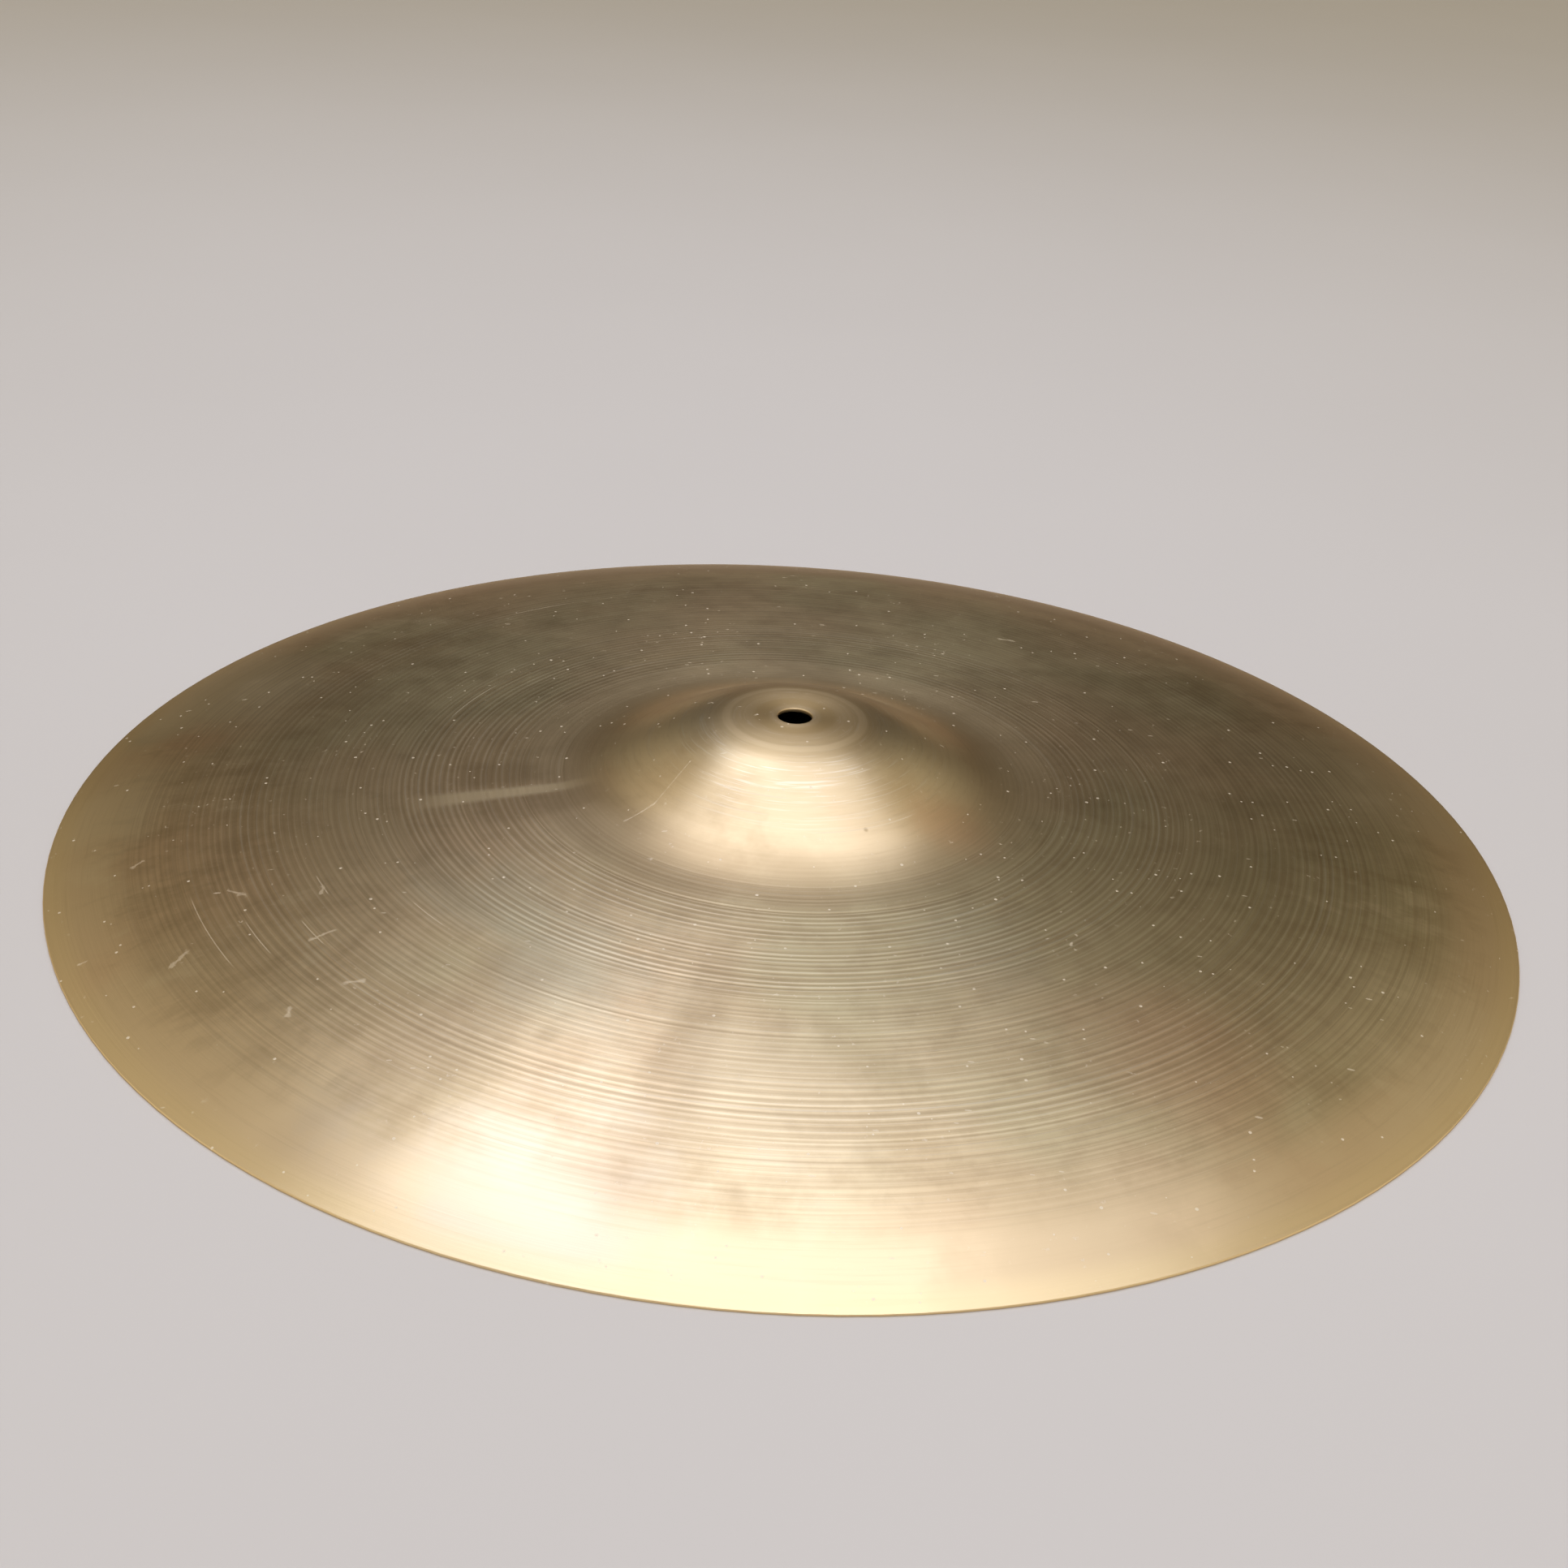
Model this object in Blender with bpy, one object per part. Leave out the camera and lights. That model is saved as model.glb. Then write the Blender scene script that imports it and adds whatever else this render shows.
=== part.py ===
"""A 20 inch (508 mm) crash cymbal: one plate of cast and lathed bronze, lying on its rim.

Metres, +Z up. The origin is the centre of the ring that the rim rests on, and the
cymbal is a solid of revolution about +Z: a flat crown with the stand hole, the bell,
the long shallow bow, and the thin edge.
"""

import math

import bmesh
import bpy
import numpy as np

# Outline
RIM_RADIUS = 0.254          # half of 20 inches
HOLE_RADIUS = 0.00605       # clears an 8 mm stand rod in its plastic sleeve
CROWN_FLAT_RADIUS = 0.009   # flat ring around the hole that the felts press on

# Bell: it rises from the bow in a soft flare, steepest half-way out
CROWN_HEIGHT = 0.046        # top of the crown above the rim's lowest edge
BELL_STEEPEST_RADIUS = 0.050

# Bow: its slope grows from the crown to BOW_SLOPE at BOW_RADIUS, and from there to the rim
BOW_RADIUS = 0.064
BOW_SLOPE = 0.060
BOW_EXTRA_SLOPE = 0.270
BOW_TIGHTENING = 3.2

# Plate thickness, measured square to the surface
BELL_THICKNESS = 0.0014
BOW_THICKNESS = 0.00115
RIM_THICKNESS = 0.0008
RIM_ROUNDING = 0.0003
FOOT_WIDTH = 0.0007         # flat worn on the lower corner of the rim

# Facets
SEGMENTS = 96
BELL_STEPS = 14
BOW_STEPS = 9
FINE_STEP = 0.0002          # for measuring a slope
SHARP_ANGLE = math.radians(40)

BRONZE_COLOR = (0.50, 0.37, 0.18, 1.0)
BRONZE_ROUGHNESS = 0.32


def clear_scene():
    for old in list(bpy.data.objects):
        bpy.data.objects.remove(old, do_unlink=True)


def bow_height(radius):
    """Height of the bow's top surface, carried on under the bell as a shallow dome."""
    span = RIM_RADIUS - BOW_RADIUS
    dome_span = BOW_RADIUS - CROWN_FLAT_RADIUS
    outside = max((radius - BOW_RADIUS) / span, 0.0)
    inside = min(max((radius - CROWN_FLAT_RADIUS) / dome_span, 0.0), 1.0)
    tight = BOW_TIGHTENING + 1
    steady_drop = span * BOW_SLOPE * (1 - outside)
    growing_drop = span * BOW_EXTRA_SLOPE / tight * (1 - outside ** tight)
    dome = dome_span * BOW_SLOPE / 2 * (1 - inside ** 2)
    return RIM_THICKNESS + steady_drop + growing_drop + dome


def bell_height(radius):
    """Height of the bell above the bow: its slope is one wave of a raised cosine."""
    reach = BELL_STEEPEST_RADIUS - CROWN_FLAT_RADIUS
    out = min(max((radius - BELL_STEEPEST_RADIUS) / reach, -1.0), 1.0)
    rise = CROWN_HEIGHT - bow_height(0.0)
    return rise / 2 * (1 - out - math.sin(math.pi * out) / math.pi)


def top_height(radius):
    return bow_height(radius) + bell_height(radius)


def thickness(radius):
    """Thickest at the crown, thinner over the bell and then evenly thinner to the rim."""
    if radius < BOW_RADIUS:
        return BELL_THICKNESS + (BOW_THICKNESS - BELL_THICKNESS) * (radius / BOW_RADIUS) ** 2
    across = (radius - BOW_RADIUS) / (RIM_RADIUS - BOW_RADIUS)
    return BOW_THICKNESS + (RIM_THICKNESS - BOW_THICKNESS) * across


def under_height(radius):
    """The underside follows the top at the plate's thickness."""
    drop = top_height(radius - FINE_STEP) - top_height(radius + FINE_STEP)
    slope = drop / (2 * FINE_STEP)
    return top_height(radius) - thickness(radius) * math.hypot(1, slope)


def ring_radii():
    """Radii of the rings of facets, hole to rim: close together over the bell."""
    bell_end = 2 * BELL_STEEPEST_RADIUS - CROWN_FLAT_RADIUS
    bow_end = RIM_RADIUS - RIM_ROUNDING - FOOT_WIDTH
    bell = np.linspace(CROWN_FLAT_RADIUS, bell_end, BELL_STEPS + 1)
    bow = np.linspace(bell_end, bow_end, BOW_STEPS + 1)[1:]
    return [HOLE_RADIUS, *bell.tolist(), *bow.tolist()]


def section():
    """The cut face of the plate as a closed outline of (radius, height), from the hole's
    top edge over the top to the rim, round it, and back underneath."""
    radii = ring_radii()
    rounding_start = RIM_RADIUS - RIM_ROUNDING
    crown_under = CROWN_HEIGHT - BELL_THICKNESS
    foot_inner = radii[-1]
    top = [(radius, top_height(radius)) for radius in radii]
    rim = [
        (rounding_start, top_height(rounding_start)),
        (RIM_RADIUS, top_height(RIM_RADIUS) - RIM_ROUNDING),
        (RIM_RADIUS, RIM_ROUNDING),
        (rounding_start, 0.0),
        (foot_inner, 0.0),
    ]
    under = [(radius, under_height(radius)) for radius in reversed(radii[2:-1])]
    crown = [(CROWN_FLAT_RADIUS, crown_under), (HOLE_RADIUS, crown_under)]
    return top + rim + under + crown


def bronze():
    material = bpy.data.materials.new("bronze")
    material.use_nodes = True
    shader = material.node_tree.nodes["Principled BSDF"]
    shader.inputs["Base Color"].default_value = BRONZE_COLOR
    shader.inputs["Metallic"].default_value = 1.0
    shader.inputs["Roughness"].default_value = BRONZE_ROUGHNESS
    return material


def make_cymbal():
    mesh = bpy.data.meshes.new("cymbal")
    plate = bmesh.new()
    corners = [plate.verts.new((radius, 0.0, height)) for radius, height in section()]
    outline = [
        plate.edges.new((corner, corners[(index + 1) % len(corners)]))
        for index, corner in enumerate(corners)
    ]
    bmesh.ops.spin(
        plate,
        geom=corners + outline,
        axis=(0, 0, 1),
        cent=(0, 0, 0),
        angle=math.tau,
        steps=SEGMENTS,
        use_merge=True,
    )
    bmesh.ops.recalc_face_normals(plate, faces=plate.faces)
    plate.to_mesh(mesh)
    plate.free()
    mesh.shade_smooth()
    mesh.set_sharp_from_angle(angle=SHARP_ANGLE)
    mesh.materials.append(bronze())
    cymbal = bpy.data.objects.new("cymbal", mesh)
    bpy.context.collection.objects.link(cymbal)
    return cymbal


clear_scene()
make_cymbal()
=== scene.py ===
"""Looks of the crash cymbal: the lathed bronze plate, its patina and wear, a pale floor,
soft lights and the camera. Metres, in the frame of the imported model."""

import math

import bmesh
import bpy
import numpy as np
from mathutils import Matrix, Vector


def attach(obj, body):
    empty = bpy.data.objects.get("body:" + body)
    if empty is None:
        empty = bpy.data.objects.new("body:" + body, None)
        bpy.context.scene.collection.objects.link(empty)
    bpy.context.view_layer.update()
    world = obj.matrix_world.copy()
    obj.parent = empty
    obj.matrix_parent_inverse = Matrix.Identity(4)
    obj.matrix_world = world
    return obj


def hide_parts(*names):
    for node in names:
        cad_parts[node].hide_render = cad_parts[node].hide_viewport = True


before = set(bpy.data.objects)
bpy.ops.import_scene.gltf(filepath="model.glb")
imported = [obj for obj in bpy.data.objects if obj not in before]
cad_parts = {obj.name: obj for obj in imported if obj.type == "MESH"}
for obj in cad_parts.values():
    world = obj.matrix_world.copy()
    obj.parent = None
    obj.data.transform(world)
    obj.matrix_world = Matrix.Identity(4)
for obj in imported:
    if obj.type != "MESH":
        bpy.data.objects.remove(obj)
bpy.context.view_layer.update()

NODE = "cymbal"
BODY = "root"
STRENGTH_ATTRIBUTE = "cut_strength"
PLACE_ATTRIBUTE = "cut_place"
MM = 0.001

# Camera, in front of the cymbal and above it
CAMERA_DISTANCE = 0.6652
CAMERA_HEIGHT = 0.3661
CAMERA_TILT = 27.56       # degrees below the horizon
CAMERA_PAN = 0.2          # degrees to the left
CAMERA_ROLL = 3.655       # degrees
CAMERA_LENS = 48.45       # millimetres, like the sensor
CAMERA_SENSOR = 36.0

# Mesh of the plate
SEGMENTS = 152
BELL_RING_STEP = 0.8 * MM
BOW_RING_STEP = 0.5 * MM
EDGE_RING_STEP = 1.4 * MM
UNDER_RING_STEP = 1.3 * MM
HOLE_ROUNDING = 0.35 * MM
RIM_ROUNDING = 0.3 * MM
ROUNDING_STEPS = 3
SHARP_ANGLE = math.radians(50)
RADIUS_DECIMALS = 5       # of a metre, when points are sorted into rings

# The bow, whose rings lie close together for its lathe cuts
BOW_FROM = 64 * MM
BOW_TO = 230 * MM

# Bands of lathe cuts: from, to, pitch and depth of a cut
TOP_LATHE_BANDS = (
    (9 * MM, 30 * MM, 2.9 * MM, 0.008 * MM),
    (34 * MM, 60 * MM, 4.1 * MM, 0.004 * MM),
    (66 * MM, 80 * MM, 2.0 * MM, 0.006 * MM),
    (80 * MM, 94 * MM, 2.2 * MM, 0.024 * MM),
    (94 * MM, 112 * MM, 2.5 * MM, 0.046 * MM),
    (112 * MM, 138 * MM, 2.3 * MM, 0.050 * MM),
    (138 * MM, 150 * MM, 2.2 * MM, 0.034 * MM),
    (150 * MM, 174 * MM, 2.4 * MM, 0.028 * MM),
    (174 * MM, 198 * MM, 2.6 * MM, 0.044 * MM),
    (198 * MM, 208 * MM, 2.5 * MM, 0.026 * MM),
    (208 * MM, 227 * MM, 2.3 * MM, 0.010 * MM),
)
UNDER_LATHE_BANDS = (
    (20 * MM, 62 * MM, 5.2 * MM, 0.020 * MM),
    (70 * MM, 150 * MM, 5.0 * MM, 0.060 * MM),
    (150 * MM, 236 * MM, 6.2 * MM, 0.075 * MM),
)
CUT_IRREGULARITY = 0.14   # how far the width of a cut strays from its pitch, as a part of it
CUT_DEPTHS = (0.7, 1.15)  # the least and the most, as a part of the band's depth
CUT_WANDER = 0.22         # how far a dark line strays from its cut, as a part of the cut
WANDER_SPAN = (0.25, 0.75)   # of the noise that it strays with
TOP_LATHE_SEED = 11
UNDER_LATHE_SEED = 23
DEEPEST_CUT = 0.055 * MM  # a cut of this depth or more has the full strength

# Where a cut is dark and where its ridge is pale, from its middle (0) to its side (1)
GROOVE_FADE = (0.12, 0.70)
RIDGE_RISE = (0.72, 0.98)

# Shallow hammer marks that the lathe has left
HAMMER_MARKS = 190
HAMMER_FROM = 80 * MM
HAMMER_TO = 236 * MM
HAMMER_WIDTH = 17 * MM
HAMMER_WIDTHS = (0.7, 1.3)   # the least and the most, as a part of the width
HAMMER_DEPTH = 0.07 * MM
HAMMER_DEPTHS = (0.3, 1.0)   # the same for the depth
HAMMER_SEED = 5

# Surroundings: their strength everywhere, and what is added to the sides, in front and
# overhead, with the part of the direction's X, Y or Z where it starts and ends
WORLD_DIM = 0.075
WORLD_SIDES = 0.66
WORLD_SIDES_SPAN = (0.3, 0.95)
WORLD_FRONT = 0.38
WORLD_FRONT_SPAN = (-0.9, 0.0)
WORLD_GLOW = 0.42
WORLD_GLOW_SPAN = (0.4, 1.0)
WORLD_COLOR = (1.0, 0.89, 0.71)
BACKDROP_COLOR = (0.48, 0.43, 0.35)

# Round soft lamps: name, azimuth and elevation in degrees, distance, diameter and radiance
LAMPS = (
    ("overhead", 90, 80, 1.7, 1.9, 1.0),
    ("overhead_core", 80, 82, 1.6, 1.0, 0.3),
    ("back_left", 118, 60, 1.7, 0.62, 1.1),
    ("back", 97, 45, 1.8, 0.9, 0.50),
    ("behind_camera", -80, 48, 2.2, 1.2, 2.6),
)
LAMP_COLOR = (0.89, 0.98, 1.32)

# Floor
FLOOR_HALF_SIZE = 40.0
FLOOR_DARKER = (0.64, 0.61, 0.56, 1)
FLOOR_LIGHTER = (0.67, 0.64, 0.59, 1)
FLOOR_NOISE = (3.0, 2.0, 0.5)   # scale, detail and roughness
FLOOR_ROUGHNESS = 0.7

# Colours of the metal, of what has grown on it, and of painted highlights and painted shade
CLEAN = (0.83, 0.64, 0.37, 1)
BROWN = (0.65, 0.49, 0.27, 1)
OLIVE = (0.64, 0.56, 0.31, 1)
ROSE = (0.80, 0.53, 0.30, 1)
DARK = (0.36, 0.25, 0.13, 1)
BELL_FILM = (0.66, 0.51, 0.29, 1)
# Stain round the hole, and painted shade on the crown
CROWN_SHADE_AND_STAIN = (0.56, 0.40, 0.19, 1)
EDGE = (0.86, 0.67, 0.35, 1)
GRAZING_TINT = (0.65, 0.53, 0.40, 1)
PALE = (0.92, 0.82, 0.62, 1)
BRIGHT = (0.98, 0.78, 0.46, 1)
# Patina colours, also used to paint highlights and shade in the patches
PATINA_AND_PAINTED_LIGHT_COLORS = {
    "gold": (0.93, 0.77, 0.47, 1),
    "rose": (0.78, 0.50, 0.28, 1),
    "cream": (0.72, 0.60, 0.42, 1),
    "umber": (0.46, 0.33, 0.17, 1),
    "verdigris": (0.62, 0.58, 0.38, 1),
}

# Gloss: roughness of clean metal, and what the brown film, the cuts and pale marks add to it
CROWN_ROUGHNESS = 0.43
BELL_ROUGHNESS = 0.325
BOW_ROUGHNESS = 0.295
FILM_ROUGHNESS = 0.06
GROOVE_ROUGHNESS = 0.03
MARK_ROUGHNESS = 0.2
MARK_DULLNESS = 0.4       # how much less metallic a pale mark is
ANISOTROPY = 0.46
ANISOTROPY_TURN = 0.25    # of a full turn, so that the gloss is drawn out across the cuts
BUMP_STRENGTH = 0.7
BUMP_HEIGHT = 0.04 * MM

# Radii between which one tone or gloss gives way to another
BELL_FILM_FADE = (34 * MM, 72 * MM)
BELL_RINGS_FADE = (40 * MM, 66 * MM)
BELL_GLOSS_FADE = (60 * MM, 90 * MM)
CROWN_GLOSS_FADE = (18 * MM, 34 * MM)
CROWN_SHADE_AND_STAIN_FADE = (25 * MM, 34 * MM)
EDGE_RISE = (243 * MM, 252 * MM)

# Bands of a tone: start, full, start of the fade and end, as radii
BOW_BAND = (60 * MM, 100 * MM, 218 * MM, 238 * MM)
BLOTCHED_BAND = (150 * MM, 195 * MM, 230 * MM, 248 * MM)
HOLE_STAIN_BAND = (8 * MM, 10 * MM, 13 * MM, 16 * MM)
CROWN_RING_BAND = (22.0 * MM, 23.2 * MM, 25.0 * MM, 26.2 * MM)
BLOTCHED_SIDES = (0.45, 0.85)   # the part of the outward direction that lies along X

# Noises over the plate: scale, detail and roughness
NOISES = {
    "broad": (7.0, 3.0, 0.5),
    "cloudy": (24.0, 5.0, 0.6),
    "mottled": (90.0, 4.0, 0.6),
    "grainy": (420.0, 3.0, 0.6),
}

# Noises drawn out round the axis: steps for each radian, then scale, detail and roughness
RING_NOISES = {
    "long": (1.2, 1.3, 2.0, 0.7),
    "short": (7.0, 0.8, 3.0, 0.6),
    "blotchy": (480.0, 0.035, 4.0, 0.65),
    "wander": (2.0, 0.35, 2.0, 0.5),
    "fine": (2.0, 1.3, 3.0, 0.65),
}

# How a tone follows its noise: where in the noise it starts and is full, and its share there
TONES = {
    "film": (0.34, 0.64, 0.1, 0.9),
    "greenish": (0.44, 0.62, 0.0, 0.7),
    "rosy": (0.46, 0.32, 0.0, 0.35),
    "speckled": (0.42, 0.72, 0.0, 0.28),
    "blotches": (0.50, 0.66, 0.0, 0.34),
    "rubbed": (0.46, 0.34, 0.0, 0.34),
    "dark_rings": (0.42, 0.66, 0.0, 0.26),
    "brown_rings": (0.50, 0.70, 0.0, 0.24),
    "bell_rings": (0.45, 0.32, 0.0, 0.45),
    "dust": (0.66, 0.74, 0.0, 1.0),
    "dusty_places": (0.42, 0.60, 0.0, 0.6),
}

# The most that each of these tones covers
BELL_FILM_SHARE = 0.75
GROOVE_SHARE = 0.50
RIDGE_SHARE = 0.30
EDGE_SHARE = 0.5
CROWN_SHADE_AND_STAIN_SHARE = 0.60
CROWN_RING_SHARE = 0.25
DASH_SHARE = 0.6
SMEAR_SHARE = 0.42
SCRATCH_SHARE = 0.5
MARK_SHARE = 0.7

# Scattered specks: spacing, size, share of the places that hold one, stretch and turn
FLECKS = (4.5 * MM, 0.55 * MM, 0.6, (1, 1, 1), 0.0)
DASHES = (13 * MM, 1.3 * MM, 0.3, (1, 3.2, 1), 55.0)

# Radial streaks of painted highlight and painted shade, standing in for reflected streaks and fan
# edges: azimuth and half width in degrees, from and to as radii, and how much lighter (or
# darker, below 0) the metal is
PAINTED_LIGHT_STREAKS = (
    # Painted highlight: the thin reflected streak left of the bell, with painted shade to each
    # side
    (-165.0, 3.0, 76 * MM, 127 * MM, 0.85),
    (-158.0, 7.0, 72 * MM, 112 * MM, -0.30),
    (-173.0, 7.0, 88 * MM, 116 * MM, -0.40),
    (4.0, 14.0, 84 * MM, 112 * MM, -0.15),
    # Painted highlight and painted shade along the edges of the reflected fan in front
    (-98.5, 4.5, 120 * MM, 232 * MM, -0.24),
    (-120.0, 6.5, 140 * MM, 252 * MM, -0.28),
    (-109.0, 9.0, 160 * MM, 245 * MM, 0.15),
    (118.0, 12.0, 120 * MM, 220 * MM, -0.15),
    # Painted shade on the back rim, painted light on the back of the bell's foot, painted shade on
    # its front
    (86.0, 80.0, 226 * MM, 266 * MM, -0.44),
    (78.0, 110.0, 72 * MM, 97 * MM, 0.40),
    (-115.0, 60.0, 66 * MM, 90 * MM, -0.34),
    (-146.0, 20.0, 66 * MM, 90 * MM, -0.25),
    (-58.0, 22.0, 66 * MM, 92 * MM, -0.30),
)

STREAK_CORE = 0.3         # of the half width, where a streak has its full amount
STREAK_FADE = 0.2         # of the length, to each side of its start and its end

# Soft patches of patina and of painted light and shade: radius, azimuth, size, colour and share
PATINA_AND_PAINTED_LIGHT_PATCHES = (
    (220 * MM, 174, 24 * MM, "rose", 0.45),
    (243 * MM, 172, 20 * MM, "verdigris", 0.35),
    (143 * MM, -118, 34 * MM, "verdigris", 0.45),
    (131 * MM, -133, 30 * MM, "verdigris", 0.35),
    (190 * MM, 148, 36 * MM, "umber", 0.35),
    (186 * MM, 161, 32 * MM, "umber", 0.25),
    (206 * MM, -147, 34 * MM, "umber", 0.15),
    (190 * MM, -50, 50 * MM, "rose", 0.35),
    (68 * MM, -35, 26 * MM, "rose", 0.5),
    (120 * MM, -60, 36 * MM, "verdigris", 0.3),
    (212 * MM, 8, 40 * MM, "umber", 0.15),
    (174 * MM, -112, 5 * MM, "umber", 0.6),
    (58 * MM, -63.5, 1.6 * MM, "umber", 0.8),
    # Painted shade: the back of the bell and the front of its foot, darkened where they reflect
    # the floor and the lamps
    (46 * MM, 88, 42 * MM, "umber", 0.80),
    (80 * MM, -122, 40 * MM, "umber", 0.75),
    (80 * MM, -85, 30 * MM, "umber", 0.50),
    # Painted light: gold lightens the bell's sides, the rim at the left and the right, and the
    # front of the bow under its highlight
    (46 * MM, 180, 32 * MM, "gold", 0.80),
    (46 * MM, -10, 32 * MM, "gold", 0.80),
    (243 * MM, -172, 44 * MM, "gold", 0.60),
    (230 * MM, 162, 56 * MM, "gold", 0.95),
    (182 * MM, -92, 60 * MM, "gold", 0.40),
    (230 * MM, -30, 60 * MM, "gold", 0.45),
    (225 * MM, 12, 56 * MM, "gold", 0.60),
    # Painted highlight: cream pales the reflected highlight on the front rim, and umber dims the
    # front rim beside it
    (240 * MM, -105, 62 * MM, "cream", 0.75),
    (242 * MM, -70, 56 * MM, "umber", 0.40),
)

PATCH_CORE = 0.2          # of the size, where a patch has its full share
PATCH_RAGGED = (0.3, 0.7, 0.6, 1.5)    # noise from and to, and what distances grow by there

# Pale smears, each from one point to another: radius and azimuth twice, and half width
SMEARS = (
    (225 * MM, -162, 222 * MM, -162.6, 0.9 * MM),
    (224 * MM, -145.5, 218 * MM, -146.5, 1.0 * MM),
    (198 * MM, -153.5, 194 * MM, -152, 1.1 * MM),
    (186 * MM, -141, 178 * MM, -141, 0.9 * MM),
    (189 * MM, -133, 185 * MM, -132, 0.9 * MM),
    (171 * MM, -149, 173 * MM, -148, 1.1 * MM),
    (209 * MM, -133, 207 * MM, -133.6, 1.0 * MM),
    (72 * MM, -139.5, 61 * MM, -138, 0.35 * MM),
    (61 * MM, -138, 43 * MM, -143.5, 0.22 * MM),
    (171 * MM, 58.5, 169 * MM, 60.5, 1.0 * MM),
)

SMEAR_CORE = 0.3          # of the half width, where a smear has its full share
SMEAR_RAGGED = (0.35, 0.65, 0.5, 2.0)  # as for the patches

# Thin scratches round the axis: radius, from and to in degrees
ARC_SCRATCHES = (
    (209.5 * MM, -155, -141),
    (198.0 * MM, -148, -141),
    (183.4 * MM, -145, -139),
    (171.0 * MM, -152, -147),
    (151.0 * MM, -141, -133),
    (131.0 * MM, 150, 166),
    (188.0 * MM, 121, 130),
    (52.0 * MM, -133, -96),
    (45.5 * MM, -126, -88),
    (38.0 * MM, -80, -42),
    (57.5 * MM, -84, -40),
)
SCRATCH_HALF_WIDTH = 0.22 * MM
SCRATCH_CORE = 0.4        # of the half width, where a scratch has its full share
SCRATCH_FULL = 0.6        # of the half length, before its ends fade


# ---- The plate's shape, read from the CAD solid ----

def cad_rings(node):
    """Radii of the CAD solid's rings, with the height of its top and of its underside."""
    points = np.array([v.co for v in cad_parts[node].data.vertices], float)
    radii = np.round(np.hypot(points[:, 0], points[:, 1]), RADIUS_DECIMALS)
    rings = np.unique(radii)
    top = np.array([points[radii == ring, 2].max() for ring in rings])
    under = np.array([points[radii == ring, 2].min() for ring in rings])
    return rings, top, under


def smooth_curve(xs, ys):
    """A cubic Hermite curve through the points, as a function of x."""
    slopes = np.gradient(ys, xs)

    def curve(x):
        k = np.clip(np.searchsorted(xs, x) - 1, 0, len(xs) - 2)
        width = xs[k + 1] - xs[k]
        t = (x - xs[k]) / width
        start = (1 + 2 * t) * (1 - t) ** 2 * ys[k] + t * (1 - t) ** 2 * width * slopes[k]
        end = t ** 2 * (3 - 2 * t) * ys[k + 1] + t ** 2 * (t - 1) * width * slopes[k + 1]
        return start + end

    return curve


def lathe_cuts(bands, seed):
    """Start, width and depth of every cut, with the turner's irregular pitch."""
    draw = np.random.RandomState(seed)
    cuts = []
    for start, end, pitch, depth in bands:
        at = start
        while at < end:
            width = pitch * (1 + CUT_IRREGULARITY * draw.uniform(-1, 1))
            cuts.append((at, width, depth * draw.uniform(*CUT_DEPTHS)))
            at += width
    return cuts


def cut_places(radii, cuts):
    """How many cuts lie inside each radius, with the part of a cut as a fraction."""
    edges = [edge for start, width, _ in cuts for edge in (start, start + width)]
    counts = [count for k in range(len(cuts)) for count in (k, k + 1)]
    return np.interp(radii, edges, counts)


def cut_strengths(radii, cuts):
    """The full depth of the cut that each radius lies in, and 0 outside the cuts."""
    strengths = np.zeros_like(radii)
    for start, width, depth in cuts:
        strengths[(radii >= start) & (radii < start + width)] = depth
    return strengths


def scallops(places, strengths):
    """Depth of the surface where each cut is a shallow scallop."""
    return strengths * (1 - (2 * (places % 1) - 1) ** 2)


def hammering(x, y):
    """Depth of the hammer marks at each point of the plate."""
    draw = np.random.RandomState(HAMMER_SEED)
    depth = np.zeros_like(x)
    for _ in range(HAMMER_MARKS):
        out = math.sqrt(draw.uniform(HAMMER_FROM ** 2, HAMMER_TO ** 2))
        turn = draw.uniform(0, math.tau)
        width = HAMMER_WIDTH * draw.uniform(*HAMMER_WIDTHS)
        square = (x - out * math.cos(turn)) ** 2 + (y - out * math.sin(turn)) ** 2
        depth += HAMMER_DEPTH * draw.uniform(*HAMMER_DEPTHS) * np.exp(-square / (width / 2) ** 2)
    return depth


def top_radii(inner, outer):
    """Ring radii on the top, closest together on the bow, for its lathe cuts."""
    bell = np.arange(inner, BOW_FROM, BELL_RING_STEP)
    bow = np.arange(BOW_FROM, BOW_TO, BOW_RING_STEP)
    edge = np.arange(BOW_TO, outer, EDGE_RING_STEP)
    return np.concatenate([bell, bow, edge])


def quarter(centre_r, centre_z, radius, start_turn):
    """Points of a quarter circle that rounds a corner of the section, turning clockwise."""
    turns = [start_turn - math.pi / 2 * k / ROUNDING_STEPS for k in range(ROUNDING_STEPS + 1)]
    return [(centre_r + radius * math.cos(t), centre_z + radius * math.sin(t)) for t in turns]


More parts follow.
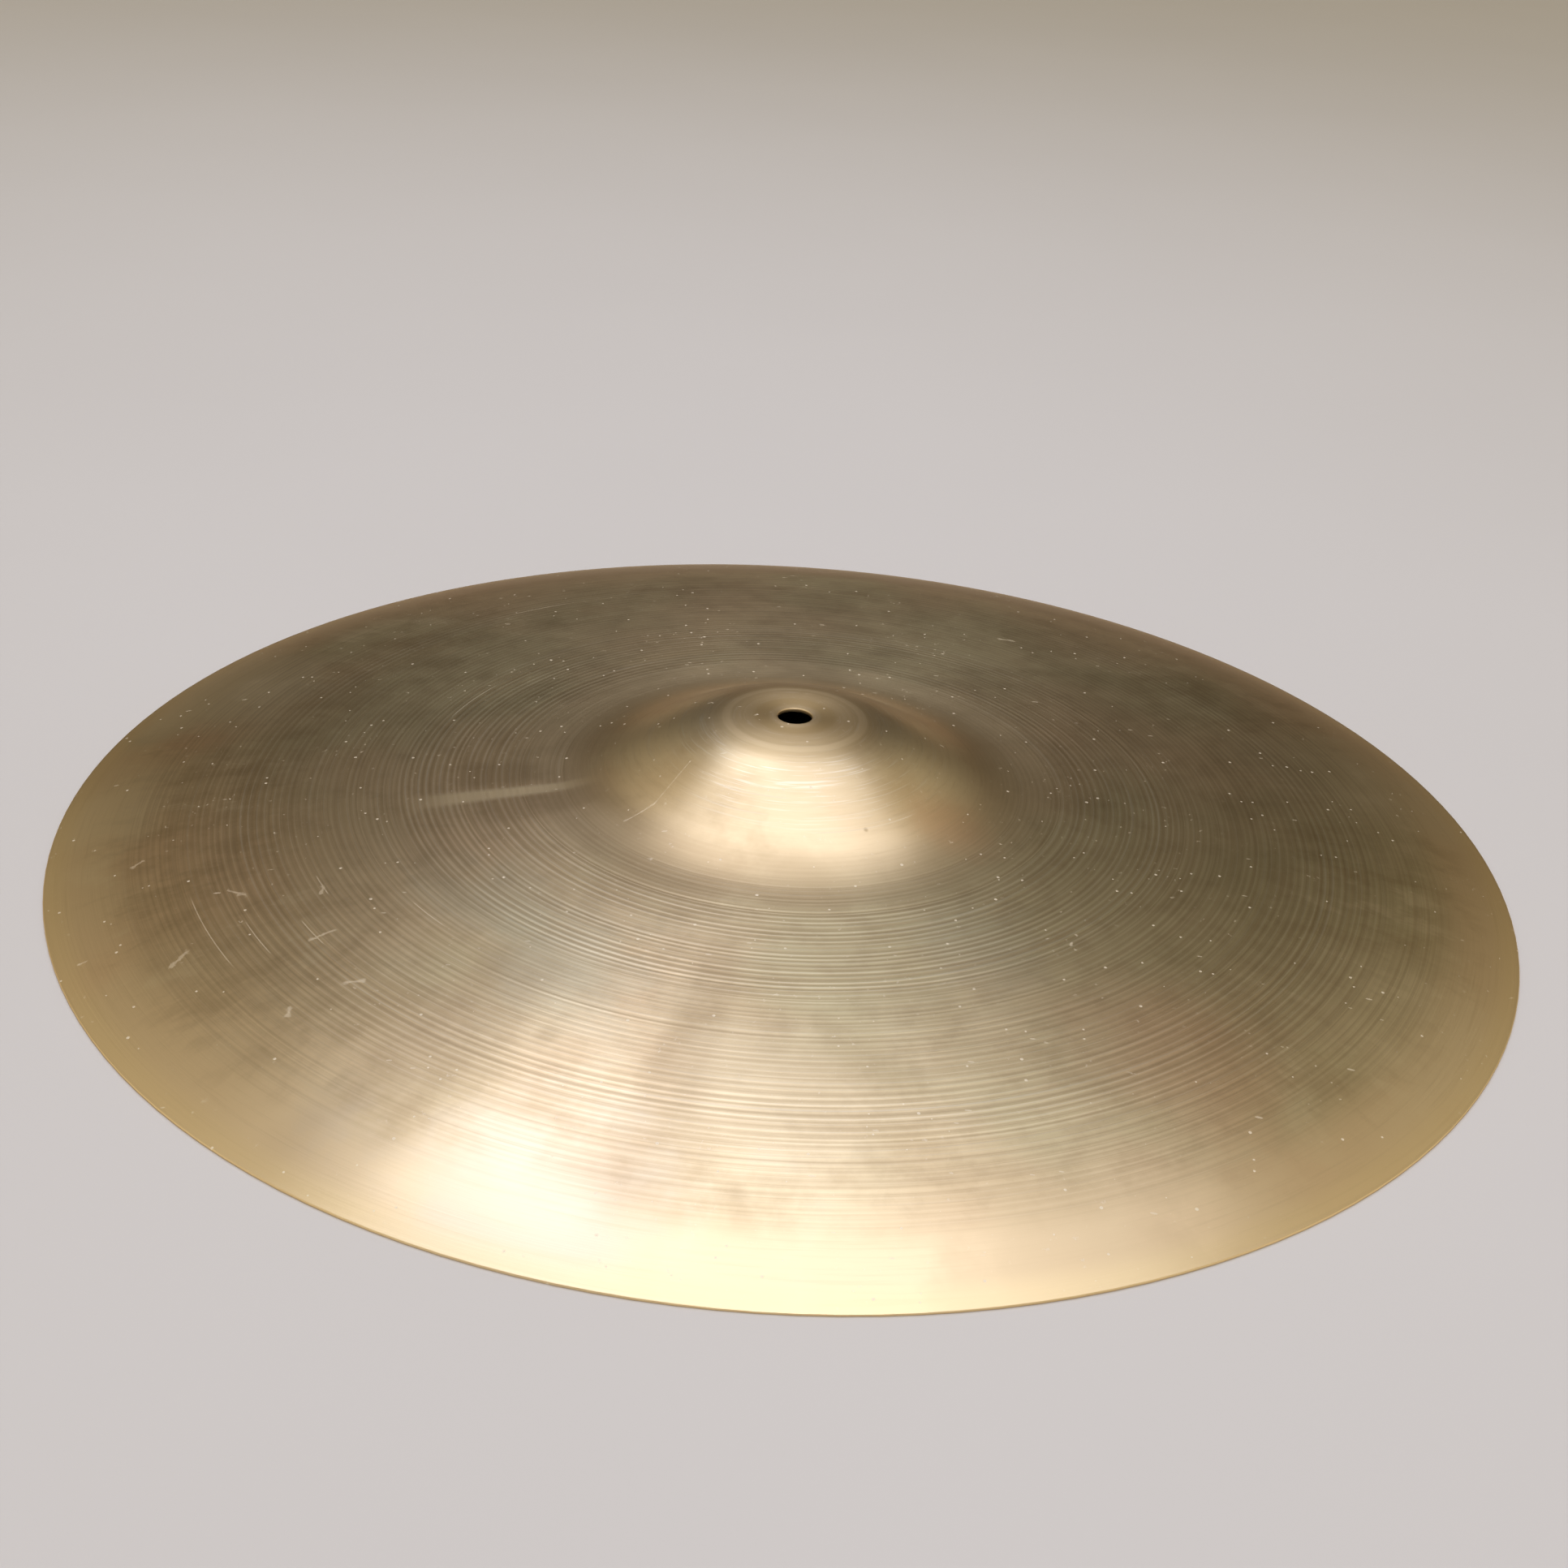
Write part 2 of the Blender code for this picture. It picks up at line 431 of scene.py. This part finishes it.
def plate_section():
    """The closed outline of the plate, as radius and height: over the top and back below."""
    rings, top, under = cad_rings(NODE)
    hole, crown_end = rings[0], rings[1]
    foot_inner, rim = rings[-3], rings[-1]
    crown_top, crown_under = top[0], under[0]
    top_curve = smooth_curve(rings[1:-1], top[1:-1])
    under_curve = smooth_curve(rings[1:-2], under[1:-2])

    outline = []
    outline += quarter(hole + HOLE_ROUNDING, crown_top - HOLE_ROUNDING, HOLE_ROUNDING, math.pi)
    inner = hole + HOLE_ROUNDING + BELL_RING_STEP
    for radius in top_radii(inner, rim - RIM_ROUNDING):
        height = crown_top if radius < crown_end else float(top_curve(radius))
        outline.append((radius, height))
    rim_top = float(top_curve(rim - RIM_ROUNDING))
    outline += quarter(rim - RIM_ROUNDING, rim_top - RIM_ROUNDING, RIM_ROUNDING, math.pi / 2)
    outline += quarter(rim - RIM_ROUNDING, RIM_ROUNDING, RIM_ROUNDING, 0.0)
    for radius in np.arange(foot_inner, crown_end, -UNDER_RING_STEP):
        outline.append((radius, float(under_curve(radius))))
    outline.append((crown_end, crown_under))
    lower_centre = crown_under + HOLE_ROUNDING
    outline += quarter(hole + HOLE_ROUNDING, lower_centre, HOLE_ROUNDING, -math.pi / 2)
    return np.array(outline)


def plate_grid():
    """The plate's points as rings by segments, with the lathe and hammer marks in them, then
    for each ring its place among the cuts and the strength of its cut, from 0 to 1."""
    outline = plate_section()
    radii, heights = outline[:, 0], outline[:, 1]
    turns = np.arange(SEGMENTS) * math.tau / SEGMENTS
    x = radii[:, None] * np.cos(turns)
    y = radii[:, None] * np.sin(turns)
    z = np.repeat(heights[:, None], SEGMENTS, axis=1)
    on_top = np.arange(len(radii)) < int(np.argmax(radii))
    top_cuts = lathe_cuts(TOP_LATHE_BANDS, TOP_LATHE_SEED)
    under_cuts = lathe_cuts(UNDER_LATHE_BANDS, UNDER_LATHE_SEED)
    places = np.where(on_top, cut_places(radii, top_cuts), cut_places(radii, under_cuts))
    strengths = np.where(on_top, cut_strengths(radii, top_cuts), cut_strengths(radii, under_cuts))
    into_metal = np.where(on_top, -1, 1) * scallops(places, strengths)
    z += into_metal[:, None] - on_top[:, None] * hammering(x, y)
    return np.stack([x, y, z], axis=-1), places, np.clip(strengths / DEEPEST_CUT, 0, 1)


def make_plate():
    """The plate as one closed mesh, with its cuts as two attributes for the material."""
    points, places, strengths = plate_grid()
    rings = len(points)
    index = np.arange(rings * SEGMENTS).reshape(rings, SEGMENTS)
    after = np.roll(index, -1, axis=0)
    faces = np.stack(
        [index, after, np.roll(after, -1, axis=1), np.roll(index, -1, axis=1)], axis=-1
    )
    mesh = bpy.data.meshes.new("cymbal_plate")
    mesh.from_pydata(points.reshape(-1, 3).tolist(), [], faces.reshape(-1, 4).tolist())
    for name, values in ((PLACE_ATTRIBUTE, places), (STRENGTH_ATTRIBUTE, strengths)):
        attribute = mesh.attributes.new(name, "FLOAT", "POINT")
        attribute.data.foreach_set("value", np.repeat(values, SEGMENTS).astype(np.float32))
    plate = bpy.data.objects.new("cymbal_plate", mesh)
    bpy.context.scene.collection.objects.link(plate)
    mesh.shade_smooth()
    mesh.set_sharp_from_angle(angle=SHARP_ANGLE)
    return plate


# ---- Materials ----

class Nodes:
    """A node tree, with short calls for the nodes used here."""

    def __init__(self, tree):
        self.tree = tree

    def add(self, kind, inputs=None, **settings):
        node = self.tree.nodes.new(kind)
        for name, value in settings.items():
            setattr(node, name, value)
        for name, value in (inputs or {}).items():
            self.put(node, name, value)
        return node

    def put(self, node, name, value):
        socket = node.inputs[name]
        if isinstance(value, bpy.types.NodeSocket):
            self.tree.links.new(value, socket)
        else:
            socket.default_value = value

    def math(self, operation, first, second=0.0):
        node = self.add("ShaderNodeMath", {0: first, 1: second}, operation=operation)
        return node.outputs[0]

    def ramp(self, value, start, end, low=0.0, high=1.0):
        """low at start, high at end, a smooth change between, and none beyond."""
        node = self.add("ShaderNodeMapRange", {0: value, 1: start, 2: end, 3: low, 4: high})
        node.interpolation_type = "SMOOTHSTEP"
        return node.outputs[0]

    def multiply(self, first, second):
        return self.math("MULTIPLY", first, second)

    def mix(self, share, first, second):
        """A share of the second colour over the first."""
        node = self.add("ShaderNodeMix", data_type="RGBA")
        self.put(node, 0, share)
        self.put(node, 6, first)
        self.put(node, 7, second)
        return node.outputs[2]

    def noise(self, vector, scale, detail, roughness):
        node = self.add(
            "ShaderNodeTexNoise",
            {"Vector": vector, "Scale": scale, "Detail": detail, "Roughness": roughness},
        )
        return node.outputs[0]

    def vector(self, operation, first, second=None, scale=1.0):
        """The output of a vector operation: a number for a length, distance or product."""
        inputs = {0: first, 3: scale}
        if second is not None:
            inputs[1] = second
        node = self.add("ShaderNodeVectorMath", inputs, operation=operation)
        is_number = operation in ("LENGTH", "DISTANCE", "DOT_PRODUCT")
        return node.outputs["Value" if is_number else "Vector"]


def new_material(name):
    """A material with its nodes and its shader."""
    material = bpy.data.materials.new(name)
    material.use_nodes = True
    nodes = Nodes(material.node_tree)
    return material, nodes, nodes.tree.nodes["Principled BSDF"]


class Surface:
    """Where a point lies on the plate, and the noises that colours and gloss follow."""

    def __init__(self, nodes):
        self.nodes = nodes
        self.place = nodes.add("ShaderNodeTexCoord").outputs["Object"]
        parts = nodes.add("ShaderNodeSeparateXYZ", {0: self.place}).outputs
        flat = nodes.add("ShaderNodeCombineXYZ", {0: parts[0], 1: parts[1]})
        self.flat = flat.outputs[0]
        self.radius = nodes.vector("LENGTH", self.flat)
        self.outward = nodes.vector("NORMALIZE", self.flat)
        self.turn = nodes.math("ARCTAN2", parts[1], parts[0])

    def noise(self, name):
        return self.nodes.noise(self.place, *NOISES[name])

    def ring_noise(self, name):
        """Noise over the radius in millimetres, and slower round the axis."""
        steps, scale, detail, roughness = RING_NOISES[name]
        around = self.nodes.vector("SCALE", self.outward, scale=steps)
        parts = self.nodes.add("ShaderNodeSeparateXYZ", {0: around}).outputs
        fine = self.nodes.multiply(self.radius, 1 / MM)
        drawn_out = self.nodes.add("ShaderNodeCombineXYZ", {0: parts[0], 1: parts[1], 2: fine})
        return self.nodes.noise(drawn_out.outputs[0], scale, detail, roughness)

    def rise(self, span):
        """0 at the first of two radii and 1 at the second."""
        return self.nodes.ramp(self.radius, *span)

    def fade(self, span, share=1.0):
        """A share at the first of two radii and 0 at the second."""
        return self.nodes.ramp(self.radius, *span, share, 0.0)

    def band(self, start, full, fade, end):
        """1 between the radii full and fade, falling to 0 at start and at end."""
        return self.nodes.multiply(self.rise((start, full)), self.fade((fade, end)))

    def turn_from(self, azimuth):
        """The angle away from an azimuth, in radians from 0 to pi."""
        away = self.nodes.math("SUBTRACT", self.turn, math.radians(azimuth))
        wrapped = self.nodes.add(
            "ShaderNodeMath", {0: away, 1: math.pi, 2: -math.pi}, operation="WRAP"
        )
        return self.nodes.math("ABSOLUTE", wrapped.outputs[0])


def specks(nodes, place, spacing, size, share, stretch, turn):
    """A mask of scattered specks: a share of the cells, spacing apart, holds one each."""
    mapping = nodes.add("ShaderNodeMapping", {"Vector": place, "Scale": stretch})
    mapping.inputs["Rotation"].default_value = (0, 0, math.radians(turn))
    cells = nodes.add(
        "ShaderNodeTexVoronoi", {"Vector": mapping.outputs[0], "Scale": 1 / spacing}
    )
    chance = nodes.add("ShaderNodeSeparateColor", {0: cells.outputs["Color"]})
    reach = nodes.multiply(chance.outputs[1], size / spacing)
    spot = nodes.math("LESS_THAN", cells.outputs["Distance"], reach)
    return nodes.multiply(spot, nodes.math("LESS_THAN", chance.outputs[0], share))


def on_plate(radius, azimuth):
    """The point at this radius and azimuth, at height 0."""
    turn = math.radians(azimuth)
    return (radius * math.cos(turn), radius * math.sin(turn), 0.0)


def add_painted_light_streaks(nodes, surface, color):
    """Radial streaks of painted highlight and painted shade, paler or darker than the metal around
    them.
    """
    for azimuth, half_width, start, end, amount in PAINTED_LIGHT_STREAKS:
        half = math.radians(half_width)
        side = nodes.ramp(surface.turn_from(azimuth), half * STREAK_CORE, half, 1.0, 0.0)
        fade = (end - start) * STREAK_FADE
        along = surface.band(start - fade, start + fade, end - fade, end + fade)
        share = nodes.multiply(nodes.multiply(side, along), abs(amount))
        color = nodes.mix(share, color, BRIGHT if amount > 0 else DARK)
    return color


def add_patina_and_painted_light_patches(nodes, surface, ragged, color):
    """Soft patches of patina, painted highlight and painted shade, with outlines made ragged by
    noise.
    """
    stretch = nodes.ramp(ragged, *PATCH_RAGGED)
    for radius, azimuth, size, name, amount in PATINA_AND_PAINTED_LIGHT_PATCHES:
        away = nodes.vector("DISTANCE", surface.flat, on_plate(radius, azimuth))
        uneven = nodes.multiply(away, stretch)
        share = nodes.ramp(uneven, size * PATCH_CORE, size, amount, 0.0)
        color = nodes.mix(share, color, PATINA_AND_PAINTED_LIGHT_COLORS[name])
    return color


def smear_mask(nodes, surface, ragged):
    """1 on the smears: the distance from a straight line between two points is small."""
    stretch = nodes.ramp(ragged, *SMEAR_RAGGED)
    total = 0.0
    for radius_a, azimuth_a, radius_b, azimuth_b, half_width in SMEARS:
        start = Vector(on_plate(radius_a, azimuth_a))
        along = Vector(on_plate(radius_b, azimuth_b)) - start
        out = nodes.vector("SUBTRACT", surface.flat, start)
        dot = nodes.vector("DOT_PRODUCT", out, along / along.length ** 2)
        share = nodes.add("ShaderNodeClamp", {0: dot}).outputs[0]
        foot = nodes.vector("SCALE", along, scale=share)
        uneven = nodes.multiply(nodes.vector("DISTANCE", out, foot), stretch)
        smear = nodes.ramp(uneven, half_width * SMEAR_CORE, half_width, 1.0, 0.0)
        total = nodes.math("ADD", total, smear)
    return total


def scratch_mask(nodes, surface):
    """1 on the thin scratches that run round the axis."""
    core = SCRATCH_HALF_WIDTH * SCRATCH_CORE
    total = 0.0
    for radius, start, end in ARC_SCRATCHES:
        off = nodes.math("ABSOLUTE", nodes.math("SUBTRACT", surface.radius, radius))
        across = nodes.ramp(off, core, SCRATCH_HALF_WIDTH, 1.0, 0.0)
        half = math.radians(end - start) / 2
        away = surface.turn_from((start + end) / 2)
        ends = nodes.ramp(away, half * SCRATCH_FULL, half, 1.0, 0.0)
        total = nodes.math("ADD", total, nodes.multiply(across, ends))
    return total


def cut_masks(nodes, surface):
    """Masks of the dark middle of the lathe cuts and of the bright ridges between them."""
    place = nodes.add("ShaderNodeAttribute", attribute_name=PLACE_ATTRIBUTE).outputs["Fac"]
    strength = nodes.add("ShaderNodeAttribute", attribute_name=STRENGTH_ATTRIBUTE).outputs["Fac"]
    stray = nodes.ramp(surface.ring_noise("wander"), *WANDER_SPAN, -CUT_WANDER, CUT_WANDER)
    part = nodes.math("FRACT", nodes.math("ADD", place, stray))
    off_middle = nodes.math("SUBTRACT", nodes.multiply(part, 2.0), 1.0)
    off_middle = nodes.math("ABSOLUTE", off_middle)
    groove = nodes.multiply(nodes.ramp(off_middle, *GROOVE_FADE, 1.0, 0.0), strength)
    ridge = nodes.multiply(nodes.ramp(off_middle, *RIDGE_RISE), strength)
    return groove, ridge


def film_layers(nodes, surface, cloudy, on_bow):
    """Clean bronze under the brown film of the bow and the bell, and how much film there is."""
    broad = surface.noise("broad")
    film = nodes.multiply(on_bow, nodes.ramp(cloudy, *TONES["film"]))
    color = nodes.mix(film, CLEAN, BROWN)
    color = nodes.mix(surface.fade(BELL_FILM_FADE, BELL_FILM_SHARE), color, BELL_FILM)
    greenish = nodes.multiply(on_bow, nodes.ramp(broad, *TONES["greenish"]))
    color = nodes.mix(greenish, color, OLIVE)
    color = nodes.mix(nodes.ramp(broad, *TONES["rosy"]), color, ROSE)
    speckled = nodes.multiply(on_bow, nodes.ramp(surface.noise("mottled"), *TONES["speckled"]))
    return nodes.mix(speckled, color, DARK), film


def add_blotches(nodes, surface, color):
    """Brown blotches and rubbed gold places on the outer bow, at the left and the right."""
    parts = nodes.add("ShaderNodeSeparateXYZ", {0: surface.outward}).outputs
    sideways = nodes.ramp(nodes.math("ABSOLUTE", parts[0]), *BLOTCHED_SIDES)
    outer = nodes.multiply(surface.band(*BLOTCHED_BAND), sideways)
    blotchy = surface.ring_noise("blotchy")
    blotches = nodes.multiply(outer, nodes.ramp(blotchy, *TONES["blotches"]))
    color = nodes.mix(blotches, color, PATINA_AND_PAINTED_LIGHT_COLORS["umber"])
    rubbed = nodes.multiply(outer, nodes.ramp(blotchy, *TONES["rubbed"]))
    return nodes.mix(rubbed, color, PATINA_AND_PAINTED_LIGHT_COLORS["gold"])


def add_rings(nodes, surface, on_bow, groove, ridge, color):
    """Darker and paler rings round the axis, and the lathe cuts with their ridges."""
    long_rings = surface.ring_noise("long")
    dark_rings = nodes.multiply(on_bow, nodes.ramp(long_rings, *TONES["dark_rings"]))
    color = nodes.mix(dark_rings, color, DARK)
    brown_rings = nodes.ramp(surface.ring_noise("short"), *TONES["brown_rings"])
    color = nodes.mix(brown_rings, color, BROWN)
    near_bell = surface.fade(BELL_RINGS_FADE)
    bell_rings = nodes.multiply(near_bell, nodes.ramp(long_rings, *TONES["bell_rings"]))
    color = nodes.mix(bell_rings, color, PALE)
    color = nodes.mix(nodes.multiply(groove, GROOVE_SHARE), color, DARK)
    return nodes.mix(nodes.multiply(ridge, RIDGE_SHARE), color, PALE)


def add_edge_and_crown(nodes, surface, color):
    """The bright edge, the crown darkened by stain and painted shade, and the bright ring where
    the crown ends.
    """
    edge = nodes.ramp(surface.radius, *EDGE_RISE, 0.0, EDGE_SHARE)
    color = nodes.mix(edge, color, EDGE)
    # Painted shade: the crown darkened for the dark it reflects, with some stain
    color = nodes.mix(surface.fade(CROWN_SHADE_AND_STAIN_FADE, CROWN_SHADE_AND_STAIN_SHARE), color, CROWN_SHADE_AND_STAIN)
    color = nodes.mix(surface.band(*HOLE_STAIN_BAND), color, CROWN_SHADE_AND_STAIN)
    crown_ring = nodes.multiply(surface.band(*CROWN_RING_BAND), CROWN_RING_SHARE)
    return nodes.mix(crown_ring, color, BRIGHT)


def pale_marks(nodes, surface, cloudy):
    """A mask of flecks, dashes, dust, smears and scratches."""
    grainy = surface.noise("grainy")
    dusty_places = nodes.ramp(cloudy, *TONES["dusty_places"])
    dust = nodes.multiply(nodes.ramp(grainy, *TONES["dust"]), dusty_places)
    dashes = nodes.multiply(specks(nodes, surface.place, *DASHES), DASH_SHARE)
    smears = nodes.multiply(smear_mask(nodes, surface, grainy), SMEAR_SHARE)
    scratches = nodes.multiply(scratch_mask(nodes, surface), SCRATCH_SHARE)
    marked = specks(nodes, surface.place, *FLECKS)
    for mask in (dust, dashes, smears, scratches):
        marked = nodes.math("MAXIMUM", marked, mask)
    return marked


def bronze_roughness(nodes, surface, film, groove, marked):
    """Dull on the crown, glossier on the bell and glossiest on the clean bow."""
    roughness = nodes.ramp(surface.radius, *BELL_GLOSS_FADE, BELL_ROUGHNESS, BOW_ROUGHNESS)
    crown = surface.fade(CROWN_GLOSS_FADE, CROWN_ROUGHNESS - BELL_ROUGHNESS)
    film = nodes.multiply(film, FILM_ROUGHNESS)
    groove = nodes.multiply(groove, GROOVE_ROUGHNESS)
    marked = nodes.multiply(marked, MARK_ROUGHNESS)
    for more in (crown, film, groove, marked):
        roughness = nodes.math("ADD", roughness, more)
    return roughness


def bronze_material():
    """Lathed bronze: patina, cuts, rings, marks and painted light and shade, gloss drawn out by
    the lathe.
    """
    material, nodes, shader = new_material("lathed_bronze")
    surface = Surface(nodes)
    groove, ridge = cut_masks(nodes, surface)
    cloudy = surface.noise("cloudy")
    on_bow = surface.band(*BOW_BAND)
    color, film = film_layers(nodes, surface, cloudy, on_bow)
    color = add_blotches(nodes, surface, color)
    color = add_patina_and_painted_light_patches(nodes, surface, cloudy, color)
    color = add_rings(nodes, surface, on_bow, groove, ridge, color)
    color = add_painted_light_streaks(nodes, surface, color)
    color = add_edge_and_crown(nodes, surface, color)
    marked = pale_marks(nodes, surface, cloudy)
    color = nodes.mix(nodes.multiply(marked, MARK_SHARE), color, PALE)

    metallic = nodes.math("SUBTRACT", 1.0, nodes.multiply(marked, MARK_DULLNESS))
    tangent = nodes.add("ShaderNodeTangent", direction_type="RADIAL", axis="Z")
    bump = nodes.add(
        "ShaderNodeBump",
        {"Strength": BUMP_STRENGTH, "Distance": BUMP_HEIGHT, "Height": surface.ring_noise("fine")},
    )
    nodes.put(shader, "Base Color", color)
    nodes.put(shader, "Metallic", metallic)
    nodes.put(shader, "Roughness", bronze_roughness(nodes, surface, film, groove, marked))
    nodes.put(shader, "Anisotropic", ANISOTROPY)
    nodes.put(shader, "Anisotropic Rotation", ANISOTROPY_TURN)
    nodes.put(shader, "Tangent", tangent.outputs[0])
    nodes.put(shader, "Specular Tint", GRAZING_TINT)
    nodes.put(shader, "Normal", bump.outputs[0])
    return material


def floor_material():
    """A pale matt floor with faint clouds."""
    material, nodes, shader = new_material("pale_floor")
    place = nodes.add("ShaderNodeTexCoord").outputs["Object"]
    cloud = nodes.noise(place, *FLOOR_NOISE)
    nodes.put(shader, "Base Color", nodes.mix(cloud, FLOOR_DARKER, FLOOR_LIGHTER))
    nodes.put(shader, "Roughness", FLOOR_ROUGHNESS)
    return material


# ---- Stage ----

def make_floor():
    """A wide flat floor at height 0, which the rim rests on."""
    mesh = bpy.data.meshes.new("floor")
    grid = bmesh.new()
    bmesh.ops.create_grid(grid, x_segments=1, y_segments=1, size=FLOOR_HALF_SIZE)
    grid.to_mesh(mesh)
    grid.free()
    mesh.materials.append(floor_material())
    floor = bpy.data.objects.new("floor", mesh)
    bpy.context.scene.collection.objects.link(floor)


def make_camera():
    """The camera, turned by its roll, its tilt and its pan, in that order."""
    data = bpy.data.cameras.new("camera")
    data.sensor_width = CAMERA_SENSOR
    data.lens = CAMERA_LENS
    camera = bpy.data.objects.new("camera", data)
    turn = (
        Matrix.Rotation(math.radians(CAMERA_PAN), 4, "Z")
        @ Matrix.Rotation(math.radians(90 - CAMERA_TILT), 4, "X")
        @ Matrix.Rotation(math.radians(CAMERA_ROLL), 4, "Z")
    )
    camera.matrix_world = Matrix.Translation((0, -CAMERA_DISTANCE, CAMERA_HEIGHT)) @ turn
    bpy.context.scene.collection.objects.link(camera)
    bpy.context.scene.camera = camera


def make_lamp(name, azimuth, elevation, distance, size, radiance):
    """A round soft lamp aimed at the cymbal. Azimuth 0 is +X and 90 is +Y, in degrees."""
    data = bpy.data.lights.new(name, "AREA")
    data.shape = "DISK"
    data.size = size
    data.energy = radiance * math.pi * math.pi * (size / 2) ** 2
    data.color = LAMP_COLOR
    lamp = bpy.data.objects.new(name, data)
    a, e = math.radians(azimuth), math.radians(elevation)
    away = (math.cos(a) * math.cos(e), math.sin(a) * math.cos(e), math.sin(e))
    place = Matrix.Translation([distance * part for part in away])
    aim = place.to_translation().to_track_quat("Z", "Y").to_matrix().to_4x4()
    lamp.matrix_world = place @ aim
    bpy.context.scene.collection.objects.link(lamp)


def make_world():
    """Dim surroundings, lighter overhead, to the sides and in front, and a plain backdrop."""
    world = bpy.data.worlds.new("surroundings")
    bpy.context.scene.world = world
    world.use_nodes = True
    nodes = Nodes(world.node_tree)
    background = nodes.tree.nodes["Background"]
    backdrop = nodes.add("ShaderNodeBackground")
    backdrop.inputs["Color"].default_value = (*BACKDROP_COLOR, 1)
    toward = nodes.add("ShaderNodeTexCoord").outputs["Generated"]
    x, y, z = nodes.add("ShaderNodeSeparateXYZ", {0: toward}).outputs
    sideways = nodes.math("ABSOLUTE", x)
    light = nodes.ramp(sideways, *WORLD_SIDES_SPAN, WORLD_DIM, WORLD_DIM + WORLD_SIDES)
    light = nodes.math("ADD", light, nodes.ramp(y, *WORLD_FRONT_SPAN, WORLD_FRONT, 0.0))
    light = nodes.math("ADD", light, nodes.ramp(z, *WORLD_GLOW_SPAN, 0.0, WORLD_GLOW))
    nodes.put(background, "Strength", light)
    background.inputs["Color"].default_value = (*WORLD_COLOR, 1)
    seen = nodes.add("ShaderNodeLightPath").outputs["Is Camera Ray"]
    shaders = {0: seen, 1: background.outputs[0], 2: backdrop.outputs[0]}
    either = nodes.add("ShaderNodeMixShader", shaders)
    nodes.put(nodes.tree.nodes["World Output"], "Surface", either.outputs[0])


bpy.context.scene.view_settings.view_transform = "Standard"
plate = make_plate()
plate.data.materials.append(bronze_material())
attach(plate, BODY)
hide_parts(NODE)
make_floor()
make_camera()
make_world()
for lamp in LAMPS:
    make_lamp(*lamp)
